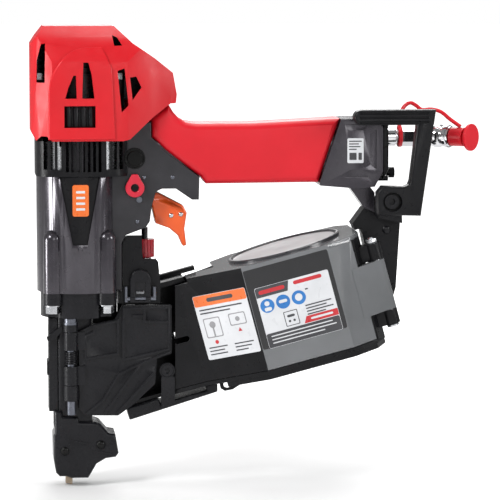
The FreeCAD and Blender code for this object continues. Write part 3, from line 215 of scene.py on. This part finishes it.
PRINT = {
    "film_white": film("film_white", (0.56, 0.57, 0.59), (0.63, 0.64, 0.66)),
    "film_orange": film("film_orange", (0.66, 0.12, 0.012), (0.74, 0.15, 0.018)),
    "film_red": film("film_red", (0.44, 0.010, 0.016), (0.50, 0.014, 0.022)),
    "film_dark": film("film_dark", (0.025, 0.025, 0.03), (0.045, 0.045, 0.05), rough=0.32),
    # painted shade: a black backing that stands in for the black coil holder and the shaded inside of
    # the cover, seen through its clear wall
    "painted_shade_backing": film("painted_shade_backing", (0.004, 0.004, 0.005), (0.008, 0.008, 0.010), rough=0.16,
                       grain=0.0, tone_scale=40, coat=0.4, shine=0.4),
    "film_grey": film("film_grey", (0.20, 0.20, 0.21), (0.27, 0.27, 0.28), rough=0.32),
    "film_blue": film("film_blue", (0.010, 0.13, 0.40), (0.016, 0.17, 0.48)),
}


# ------------------------------------------------------------------ making pieces

def piece(name, bm, body, material, sharp=35.0):
    """Turns a mesh under construction into a finished piece that rides on a body."""
    bmesh.ops.recalc_face_normals(bm, faces=bm.faces[:])
    mesh = bpy.data.meshes.new(name)
    bm.to_mesh(mesh)
    bm.free()
    mesh.materials.append(material)
    obj = bpy.data.objects.new(name, mesh)
    bpy.context.scene.collection.objects.link(obj)
    smooth(obj, sharp)
    if body:
        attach(obj, body)
    return obj


def smooth(obj, degrees):
    """Shades smooth, with edges steeper than this kept sharp."""
    mesh = obj.data
    mesh.polygons.foreach_set("use_smooth", [True] * len(mesh.polygons))
    mesh.set_sharp_from_angle(angle=math.radians(degrees))


def soften(bm, width, segments, steeper=32.0, flatter=150.0):
    """Bevels the edges whose faces meet at a real corner."""
    low, high = math.radians(steeper), math.radians(flatter)
    edges = [e for e in bm.edges if len(e.link_faces) == 2 and low < e.calc_face_angle(0) < high]
    bmesh.ops.bevel(bm, geom=edges, offset=width, offset_type="OFFSET", segments=segments,
                    profile=0.5, affect="EDGES", clamp_overlap=True, material=-1)


# nodes whose finish differs from their slot's
LOOK = {"side_plug": M["black_gloss"], "end_cap_screws": M["black_steel"],
        "trigger_pin": M["pin_steel"], "mode_lever": M["crimson"]}


# pieces whose flat faces have windows in them
PIERCED = {"cylinder_cover", "nose_door", "cover_vents", "contact_link"}


def refine(node, width=0.4, segments=2, sharp=35.0):
    """A finer copy of a node: flat faces joined up and the corners rounded."""
    bm = bmesh.new()
    bm.from_mesh(frame["nodes"][node].data)
    bmesh.ops.remove_doubles(bm, verts=bm.verts[:], dist=1e-6)
    bmesh.ops.dissolve_limit(bm, angle_limit=math.radians(0.6), verts=bm.verts[:], edges=bm.edges[:],
                             use_dissolve_boundaries=False)
    if node in PIERCED:
        bmesh.ops.triangulate(bm, faces=bm.faces[:], quad_method="BEAUTY", ngon_method="BEAUTY")
    slot_name = SLOT_OF[node]
    obj = piece("fine_" + node, bm, BODY_OF[node], LOOK.get(node, M[slot_name]), sharp)
    if width:
        mod = obj.modifiers.new("edge", "BEVEL")
        mod.width = width * MM
        mod.segments = segments
        mod.limit_method = "ANGLE"
        mod.angle_limit = math.radians(33)
        mod.use_clamp_overlap = True
        mod.harden_normals = True
        mod.miter_outer = "MITER_ARC"
    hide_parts(node)
    return obj


def frame_matrix(origin, across, up):
    """Local axes at a point: across, up and the outward normal."""
    a, b = Vector(across).normalized(), Vector(up).normalized()
    n = a.cross(b)
    return Matrix(((a.x, b.x, n.x, origin[0]), (a.y, b.y, n.y, origin[1]), (a.z, b.z, n.z, origin[2]),
                   (0, 0, 0, 1)))


def sheet(bm, outline, thick, base=0.0):
    """A flat closed plate with this outline in millimetres, raised from base along its normal."""
    verts = [bm.verts.new((x * MM, y * MM, base * MM)) for x, y in outline]
    face = bm.faces.new(verts)
    made = bmesh.ops.extrude_face_region(bm, geom=[face])
    top = [g for g in made["geom"] if isinstance(g, bmesh.types.BMVert)]
    bmesh.ops.translate(bm, verts=top, vec=(0, 0, thick * MM))
    return bm


def rounded_box(width, height, radius, steps=5, x=0.0, y=0.0):
    """The outline of a rectangle with rounded corners, centred on x, y."""
    points = []
    for k, (sx, sy) in enumerate(((1, 1), (-1, 1), (-1, -1), (1, -1))):
        cx, cy = x + sx * (width / 2 - radius), y + sy * (height / 2 - radius)
        for i in range(steps + 1):
            a = math.radians(90 * k + 90 * i / steps)
            points.append((cx + radius * math.cos(a), cy + radius * math.sin(a)))
    return points


def disc_outline(radius, x, y, steps=28):
    """The outline of a round plate."""
    angles = [2 * math.pi * k / steps for k in range(steps)]
    return [(x + radius * math.cos(a), y + radius * math.sin(a)) for a in angles]


def turned(bm, profile, steps=32):
    """A closed turned piece from a profile of (radius, height) in millimetres, round local Z."""
    verts = [bm.verts.new((r * MM, 0, h * MM)) for r, h in profile]
    edges = [bm.edges.new(pair) for pair in zip(verts, verts[1:])]
    bmesh.ops.spin(bm, geom=verts + edges, cent=(0, 0, 0), axis=(0, 0, 1), angle=2 * math.pi,
                   steps=steps, use_merge=True)
    bmesh.ops.remove_doubles(bm, verts=bm.verts[:], dist=1e-7)
    return bm


def put(bm, origin, across, up):
    """Moves local geometry to a point in millimetres with these local axes."""
    bmesh.ops.transform(bm, matrix=frame_matrix(Vector(origin) * MM, across, up), verts=bm.verts[:])
    return bm


def coil_spring(bm, radius, wire, pitch, turns, steps=20, ring=8):
    """A wire wound round local Z, in millimetres."""
    circle = bmesh.ops.create_circle(bm, cap_ends=True, segments=ring, radius=wire * MM,
                                     matrix=Matrix.Translation((radius * MM, 0, 0))
                                     @ Matrix.Rotation(math.pi / 2, 4, "X"))
    verts = circle["verts"]
    faces = list({f for v in verts for f in v.link_faces})
    edges = list({e for v in verts for e in v.link_edges})
    bmesh.ops.spin(bm, geom=verts + edges + faces, cent=(0, 0, 0), axis=(0, 0, 1),
                   dvec=(0, 0, pitch * MM / steps), angle=2 * math.pi * turns,
                   steps=int(steps * turns), use_duplicate=False)
    return bm


# ------------------------------------------------------------------ every piece of the tool

# width in millimetres and segments of each rounded corner; the other nodes have the plain one
BEVELS = {
    "body_casting": (0.9, 3), "trigger_bracket": (0.5, 2), "cylinder_cover": (1.5, 4),
    "hand_grip": (1.2, 3), "magazine_base": (0.5, 2), "magazine_cover": (0.5, 2),
    "hook": (0.5, 2), "nose_door": (0.35, 2), "trigger": (0.5, 2), "contact_foot": (0.5, 2),
    "exhaust_grille": (0.2, 2), "exhaust_screen": (0, 0), "end_cap_screws": (0.1, 2),
    "piston_ring": (0.1, 1), "cap_strap": (0, 0), "swivel_plug": (0.3, 3),
    "hinge_spring": (0.2, 2), "adjust_dial": (0.2, 2), "mode_lever": (0.5, 3),
    "end_cap_knob": (0.3, 2), "nose_body": (0.6, 3), "nose_guard": (0.5, 2),
    "handle_end_cap": (0.6, 3), "arm_housing": (0.5, 2), "magazine_bracket": (0.8, 3),
    "lower_rail": (0.8, 3), "side_inserts": (0.3, 2), "dust_cap": (0.5, 3),
}
PLAIN_BEVEL = (0.3, 2)
for node in sorted(frame["nodes"]):
    width, segments = BEVELS.get(node, PLAIN_BEVEL)
    refine(node, width, segments)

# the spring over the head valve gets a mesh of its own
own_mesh(bpy.data.objects["fine_head_valve_spring"])

# the slanted front of the magazine cover is black, the rest is clear
BLACK_UP_TO = 131.5
front = bpy.data.objects["fine_magazine_cover"].data
front.materials.append(M["black_plastic"])
for face in front.polygons:
    if face.center.dot(U) < BLACK_UP_TO * MM and face.center.y < 0:
        face.material_index = 1


# ------------------------------------------------------------------ small hardware

def rivet(name, radius, reach, x, z, body, material):
    """A round pin across the tool, with domed ends."""
    bm = bmesh.new()
    dome = radius * 0.35
    profile = [(0, -reach)] + [(radius * math.sin(a), -reach + dome - dome * math.cos(a))
                               for a in (0.5, 1.0, math.pi / 2)]
    profile += [(r, -h) for r, h in reversed(profile)]
    turned(bm, profile, 24)
    put(bm, (x, 0, z), X, Z)
    return piece(name, bm, body, material)


BRACKET_PINS = ((40.9, 192.5), (59.1, 192.5), (36.7, 164.6))
BRACKET_REACH = 16.9
TRIGGER_RIVETS = ((58.8, 167.3), (65.0, 168.0))
TRIGGER_REACH = 7.3
FOOT_PINS = (("front", -10.0, 17.8), ("rear", 13.0, 21.5))
FOOT_FACE = 12.92

for k, (x, z) in enumerate(BRACKET_PINS):
    rivet("bracket_pin_%d" % k, 1.28, BRACKET_REACH, x, z, "housing", M["pin_steel"])
rivet("bracket_screw", 2.6, 8.6, 197.0, 157.0, "housing", M["black_steel"])
for k, (x, z) in enumerate(TRIGGER_RIVETS):
    rivet("trigger_rivet_%d" % k, 1.45, TRIGGER_REACH, x, z, "trigger", M["bright_steel"])


def dome(name, radius, height, origin, across, body, material, slot_name):
    """A low domed head on a face."""
    bm = bmesh.new()
    turned(bm, [(0, 0), (radius, 0), (radius * 0.96, height * 0.35), (radius * 0.75, height * 0.75),
                (radius * 0.4, height * 0.95), (0, height)], 28)
    put(bm, origin, across, Z)
    return piece(name, bm, body, material, 60)


for name, x, z in FOOT_PINS:
    for side, y, across in (("near", -FOOT_FACE, X), ("far", FOOT_FACE, -X)):
        dome("foot_%s_%s" % (name, side), 2.7, 1.5, (x, y, z), across, "contact_arm",
             M["black_gloss"], "black_steel")


def hex_nut(name, across, height, bore, origin, side, up, body):
    bm = bmesh.new()
    corner = across / math.sqrt(3)
    angles = [math.radians(60 * k + 30) for k in range(6)]
    outline = [(corner * math.cos(a), corner * math.sin(a)) for a in angles]
    sheet(bm, outline, height)
    soften(bm, 0.35 * MM, 2, 20)
    cap = bmesh.new()
    turned(cap, [(0, 0.1), (bore, 0.1), (bore, height + 0.5), (bore - 0.4, height + 0.9),
                 (0, height + 0.9)], 20)
    mesh = bpy.data.meshes.new("end")
    cap.to_mesh(mesh)
    cap.free()
    bm.from_mesh(mesh)
    bpy.data.meshes.remove(mesh)
    put(bm, origin, side, up)
    return piece(name, bm, body, M["bright_steel"])


def tilted(u, y, v):
    """A point given along the magazine's own axes, in millimetres."""
    return U * u + Y * y + W * v


HINGE_TOP = tilted(217.7, -25.0, 97.2)      # where the cover's rod comes out of its upper ear
hex_nut("hinge_nut", 6.6, 2.9, 2.0, HINGE_TOP, U, Y, "housing")


# the torsion spring of the nose door and the small spring in the latch
spring = bmesh.new()
coil_spring(spring, 3.3, 0.52, 1.15, 7.0, steps=28)
put(spring, (-5.8, -16.0, 73.85), X, Y)
spring = piece("door_torsion_spring", spring, "housing", M["black_steel"])
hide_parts("hinge_spring")
bpy.data.objects.remove(bpy.data.objects["fine_hinge_spring"])

spring = bmesh.new()
coil_spring(spring, 0.85, 0.2, 0.62, 8.0, steps=16, ring=6)
put(spring, (35.7, -18.25, 119.6), Y, Z)
piece("latch_spring", spring, "door_latch", M["bright_steel"])


# ------------------------------------------------------------------ the cap's strap

def sweep(bm, route, wide, thick, segments=12):
    """An oval cord through a smooth route of points in millimetres."""
    points = [Vector(p) * MM for p in route]
    fine = []
    for k in range(len(points) - 1):
        a, b = points[max(k - 1, 0)], points[k]
        c, d = points[k + 1], points[min(k + 2, len(points) - 1)]
        for i in range(6):
            t = i / 6
            fine.append(0.5 * (2 * b + (c - a) * t + (2 * a - 5 * b + 4 * c - d) * t * t
                               + (3 * b - a - 3 * c + d) * t ** 3))
    fine.append(points[-1])
    rings = []
    for k, p in enumerate(fine):
        way = (fine[min(k + 1, len(fine) - 1)] - fine[max(k - 1, 0)]).normalized()
        side = Y.cross(way).normalized()
        over = way.cross(side)
        rings.append([bm.verts.new(p + side * thick * MM * math.cos(2 * math.pi * s / segments)
                                   + over * wide * MM * math.sin(2 * math.pi * s / segments))
                      for s in range(segments)])
    for low_ring, high_ring in zip(rings, rings[1:]):
        for s in range(segments):
            bm.faces.new((low_ring[s - 1], low_ring[s], high_ring[s], high_ring[s - 1]))
    bm.faces.new(rings[0])
    bm.faces.new(rings[-1])
    return bm


PLUG_AXIS_Z = 216.5
TURN = math.radians(42)
PLUG_WAY = Vector((math.cos(TURN), -math.sin(TURN), 0))
ELBOW = Vector((231.5, 0, PLUG_AXIS_Z))

collar = bmesh.new()
turned(collar, [(4.95, -1.3), (6.5, -1.3), (6.9, -0.9), (6.9, 0.9), (6.5, 1.3), (4.95, 1.3),
                (4.95, -1.3)], 40)
put(collar, (206.5, 0, PLUG_AXIS_Z), Y, Z)
collar = piece("strap_collar", collar, "plug", M["red_rubber"])

strap = bmesh.new()
CAP_RIM, CAP_TOP = 17.0, 6.6            # where the strap meets the cap
end = ELBOW + PLUG_WAY * CAP_RIM + Z * CAP_TOP
sweep(strap, [(206.3, 0, 222.6), (207.0, 0, 228.5), (209.0, -0.2, 234.8), (213.0, -0.6, 237.9),
              (217.0, -1.0, 236.2), (220.5, -1.8, 233.6), (226.5, -3.2, 233.9), (232.5, -5.4, 232.2),
              (238.0, -8.0, 227.6), tuple(end)], 1.8, 1.25)
strap = piece("strap", strap, None, M["red_rubber"])
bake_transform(strap)
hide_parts("cap_strap")
bpy.data.objects.remove(bpy.data.objects["fine_cap_strap"])


# ------------------------------------------------------------------ plates without words

class Label:
    """A film with printed shapes, each in its own thin layer; the flat label also gets a layer of
    painted shade.
    """

    def __init__(self, name, origin, across, up, body):
        self.name, self.origin, self.across, self.up, self.body = name, origin, across, up, body
        self.count = 0

    def add(self, ink, outlines, base, thick=0.05):
        bm = bmesh.new()
        for outline in outlines:
            sheet(bm, outline, thick, base)
        put(bm, self.origin, self.across, self.up)
        self.count += 1
        return piece("%s_%d" % (self.name, self.count), bm, self.body, PRINT[ink])


def bars(x, y, lengths, pitch, height):
    """Rows of short bars that stand where a plate has print."""
    return [rounded_box(length, height, height * 0.45, 2, x + length / 2, y - pitch * k)
            for k, length in enumerate(lengths)]


screw = bmesh.new()
turned(screw, [(0, 0), (2.4, 0), (2.4, 0.3), (1.1, 0.45), (0, 0.3)], 24)
put(screw, (35.0, -19.15, 186.2), X, Z)
piece("mode_screw", screw, "mode_lever", M["black_gloss"])

badge = Label("badge", (0.4, -26.7, 179.1), X, Z, "housing")
badge.add("film_orange", [rounded_box(10.2, 19.8, 1.4)], 0, 1.4)
badge.add("film_white", [rounded_box(5.6, 1.5, 0.4, 3, 0, dy) for dy in (5.4, 1.8, -1.8, -5.4)],
          1.4, 0.12)

plate = Label("data_plate", (175.5, -17.98, 208.6), X, Z, "housing")
plate.add("film_white", [rounded_box(10.4, 15.8, 0.8)], 0, 0.16)
plate.add("film_dark", bars(-4.2, 6.0, (8.2, 6.4, 7.4, 5.0), 1.7, 0.75)
          + [rounded_box(4.6, 4.6, 0.4, 2, -1.6, -3.6), rounded_box(2.2, 4.6, 0.4, 2, 3.0, -3.6)],
          0.16, 0.03)

LEAN = Vector((38.0, -23.5, 0)).normalized()
slant = Label("slanted_label", tilted(114.8, -29.36, 73.0), U * LEAN.x + Y * LEAN.y, W,
              "magazine_cover")
slant.add("film_white", [rounded_box(38.0, 42.0, 1.2)], 0.0, 0.1)
slant.add("film_orange", [rounded_box(37.6, 7.0, 1.0, 3, 0, 17.3)], 0.1)
slant.add("film_dark", bars(-9.5, 17.4, (19.0,), 1, 2.6) + bars(-16.5, 11.4, (31.0, 22.0), 2.2, 0.9)
          + bars(-16.5, -13.4, (13.5, 11.0, 12.5), 2.2, 0.8)
          + bars(2.0, -13.4, (14.0, 12.0, 9.0), 2.2, 0.8), 0.15, 0.02)
slant.add("film_grey", [rounded_box(12.0, 13.0, 1.0, 3, -9.8, -0.6),
                        rounded_box(12.0, 8.0, 1.0, 3, 8.6, 2.2)], 0.1)
slant.add("film_white", [rounded_box(10.6, 11.6, 0.8, 3, -9.8, -0.6),
                         rounded_box(10.6, 6.6, 0.8, 3, 8.6, 2.2)], 0.15, 0.02)
slant.add("film_grey", [disc_outline(2.2, -9.8, 1.2, 20), rounded_box(1.2, 6.0, 0.4, 2, -9.8, -3.6),
                        disc_outline(1.6, 8.6, 2.2, 20)], 0.17, 0.02)
slant.add("film_red", [disc_outline(1.3, -9.8, -10.2, 16),
                       [(7.2, -6.0), (10.0, -6.0), (8.6, -3.4)]], 0.1)

FLAT = Vector((56.0, -3.0, 0)).normalized()
label = Label("flat_label", tilted(160.4, -41.52, 71.6), U * FLAT.x + Y * FLAT.y, W, "magazine_cover")
# painted shade: the black backing behind the flat label, up to the cover's top edge, stands in for
# the dark holder and shaded inside seen through the clear cover
label.add("painted_shade_backing", [rounded_box(55.0, 51.5, 1.2, 5, -0.6, 6.4)], -0.05, 0.08)
label.add("film_white", [rounded_box(48.0, 39.4, 1.2)], 0.0, 0.1)
label.add("film_dark", [[(-23.8, 13.2), (-3.6, 13.2), (-1.8, 19.5), (-22.8, 19.5), (-23.8, 18.6)],
                        rounded_box(47.6, 9.2, 1.0, 3, 0, -14.9)], 0.1)
label.add("film_red", bars(-21.8, 16.3, (16.8,), 1, 2.5) + bars(0.8, 17.0, (18.5,), 1, 2.4)
          + [[(1.4, -9.9), (23.8, -9.9), (23.8, -5.6), (3.6, -5.6)]], 0.15, 0.02)
label.add("film_blue", [disc_outline(4.5, x, 7.2) for x in (-18.4, -8.2, 2.0)], 0.1)
label.add("film_white", [disc_outline(1.6, -18.4, 8.6, 18), rounded_box(4.6, 2.4, 1.0, 3, -18.4, 5.0),
                         rounded_box(5.4, 2.0, 0.9, 3, -8.2, 7.6), disc_outline(2.4, 2.0, 7.4, 22)]
          + bars(6.0, -7.7, (14.5,), 1, 1.3)
          + bars(-21.0, -12.4, (40.0, 42.0, 34.0), 2.2, 0.7), 0.17, 0.02)
label.add("film_dark", bars(7.0, 11.2, (2.0,), 1, 0.9)
          + bars(4.6, 1.0, (17.0, 13.5, 17.5, 12.0), 1.9, 0.8)
          + [rounded_box(9.0, 9.6, 0.6, 3, -5.6, -4.2)], 0.15, 0.02)
label.add("film_white", [rounded_box(8.0, 8.6, 0.4, 3, -5.6, -4.2)], 0.17, 0.02)
label.add("film_dark", bars(-8.2, -2.6, (5.0,), 1, 1.6) + [disc_outline(0.8, -7.2, -5.9, 12),
                       disc_outline(0.8, -4.2, -5.9, 12)], 0.19, 0.02)

# ------------------------------------------------------------------ the lid's collar and window

COIL_U, LID_V = 165.0, 106.2
ring = bmesh.new()
RING_PROFILE = [(34.4, 0), (36.6, 0), (36.6, 1.4), (36.0, 2.0), (35.0, 2.0), (34.4, 1.4), (34.4, 0)]
turned(ring, RING_PROFILE, 72)
put(ring, tilted(COIL_U, 0, LID_V), U, Y)
piece("lid_ring", ring, "magazine_cover", PRINT["film_dark"])
# painted reflection: the lid's clear window below is coloured pale for the white light it reflects
lid = bmesh.new()
turned(lid, [(0, 0), (34.0, 0), (34.0, 0.5), (33.6, 0.9), (0, 0.9)], 64)
put(lid, tilted(COIL_U, 0, LID_V), U, Y)
piece("lid_disc", lid, "magazine_cover", M["clear_painted_reflection"])


# ------------------------------------------------------------------ camera and light

def area(name, place, towards, size, power):
    """A round soft light at a place in metres, with its power in watts."""
    light = bpy.data.lights.new(name, "AREA")
    light.shape = "DISK"
    light.size = size
    light.energy = power
    obj = bpy.data.objects.new(name, light)
    obj.location = place
    obj.rotation_euler = (Vector(towards) - Vector(place)).to_track_quat("-Z", "Y").to_euler()
    bpy.context.scene.collection.objects.link(obj)
    obj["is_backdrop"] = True


ROOM_LIGHT = 0.30
FADE_START, FADE_END = 0.15, 1.2        # metres from the origin over which the floor turns white
FLOOR_RADIUS = 12.0


def studio(floor_z):
    """A pale floor that turns white with distance, in a white room that lights softly."""
    bm = bmesh.new()
    bmesh.ops.create_circle(bm, cap_ends=True, segments=96, radius=FLOOR_RADIUS,
                            matrix=Matrix.Translation((0, 0, floor_z)))
    mesh = bpy.data.meshes.new("floor")
    bm.to_mesh(mesh)
    bm.free()
    mat = surface("floor", (0.86, 0.86, 0.86), (0.88, 0.88, 0.88), 0.8, grain=0, tone_scale=2)
    mesh.materials.append(mat)
    floor = bpy.data.objects.new("floor", mesh)
    bpy.context.scene.collection.objects.link(floor)
    floor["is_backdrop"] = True

    tree = mat.node_tree
    shader = tree.nodes["Principled BSDF"]
    coords = tree.nodes.new("ShaderNodeTexCoord")
    reach = tree.nodes.new("ShaderNodeVectorMath")
    reach.operation = "LENGTH"
    fade = tree.nodes.new("ShaderNodeMapRange")
    fade.inputs["From Min"].default_value = FADE_START
    fade.inputs["From Max"].default_value = FADE_END
    seen = tree.nodes.new("ShaderNodeLightPath")
    glow = tree.nodes.new("ShaderNodeMath")
    glow.operation = "MULTIPLY"
    tree.links.new(coords.outputs["Object"], reach.inputs[0])
    tree.links.new(reach.outputs["Value"], fade.inputs["Value"])
    tree.links.new(fade.outputs["Result"], glow.inputs[0])
    tree.links.new(seen.outputs["Is Camera Ray"], glow.inputs[1])
    shader.inputs["Emission Color"].default_value = (1, 1, 1, 1)
    tree.links.new(glow.outputs["Value"], shader.inputs["Emission Strength"])

    world = bpy.data.worlds.new("studio")
    bpy.context.scene.world = world
    world.use_nodes = True
    tree = world.node_tree
    soft = tree.nodes["Background"]
    soft.inputs["Color"].default_value = (1, 1, 1, 1)
    soft.inputs["Strength"].default_value = ROOM_LIGHT
    white = tree.nodes.new("ShaderNodeBackground")
    white.inputs["Color"].default_value = (1, 1, 1, 1)
    seen = tree.nodes.new("ShaderNodeLightPath")
    mix = tree.nodes.new("ShaderNodeMixShader")
    tree.links.new(seen.outputs["Is Camera Ray"], mix.inputs["Fac"])
    tree.links.new(soft.outputs["Background"], mix.inputs[1])
    tree.links.new(white.outputs["Background"], mix.inputs[2])
    tree.links.new(mix.outputs["Shader"], tree.nodes["World Output"].inputs["Surface"])

    centre = (0.11, 0, 0.14)
    area("key", (-0.8, -0.8, 1.0), centre, 0.5, 14)
    area("front", (0.4, -1.6, 0.5), centre, 0.5, 3)
    area("side", (1.1, -0.6, 0.5), centre, 0.4, 6)
    area("top", (0.25, 0.2, 1.3), centre, 0.8, 7)
    area("left", (-1.2, -0.15, 0.15), centre, 0.35, 7)
    area("back", (0.2, 1.2, 0.9), centre, 0.8, 9)


LENS = 202
VIEW_FROM = Vector((-0.104, -0.989, 0.1045))
AIM = Vector((0.110, 0, 0.144))
DISTANCE = 1.8


def camera():
    """Looks at the side that opens, a little from the front and from above."""
    data = bpy.data.cameras.new("camera")
    data.sensor_width = 36
    data.lens = LENS
    data.clip_start, data.clip_end = 0.05, 20
    obj = bpy.data.objects.new("camera", data)
    bpy.context.scene.collection.objects.link(obj)
    back = VIEW_FROM.normalized()
    obj.location = AIM + back * DISTANCE
    obj.rotation_euler = (-back).to_track_quat("-Z", "Y").to_euler()
    bpy.context.scene.camera = obj


bpy.context.scene.view_settings.view_transform = "Standard"
low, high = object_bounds()
studio(low.z)
camera()
low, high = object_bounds()
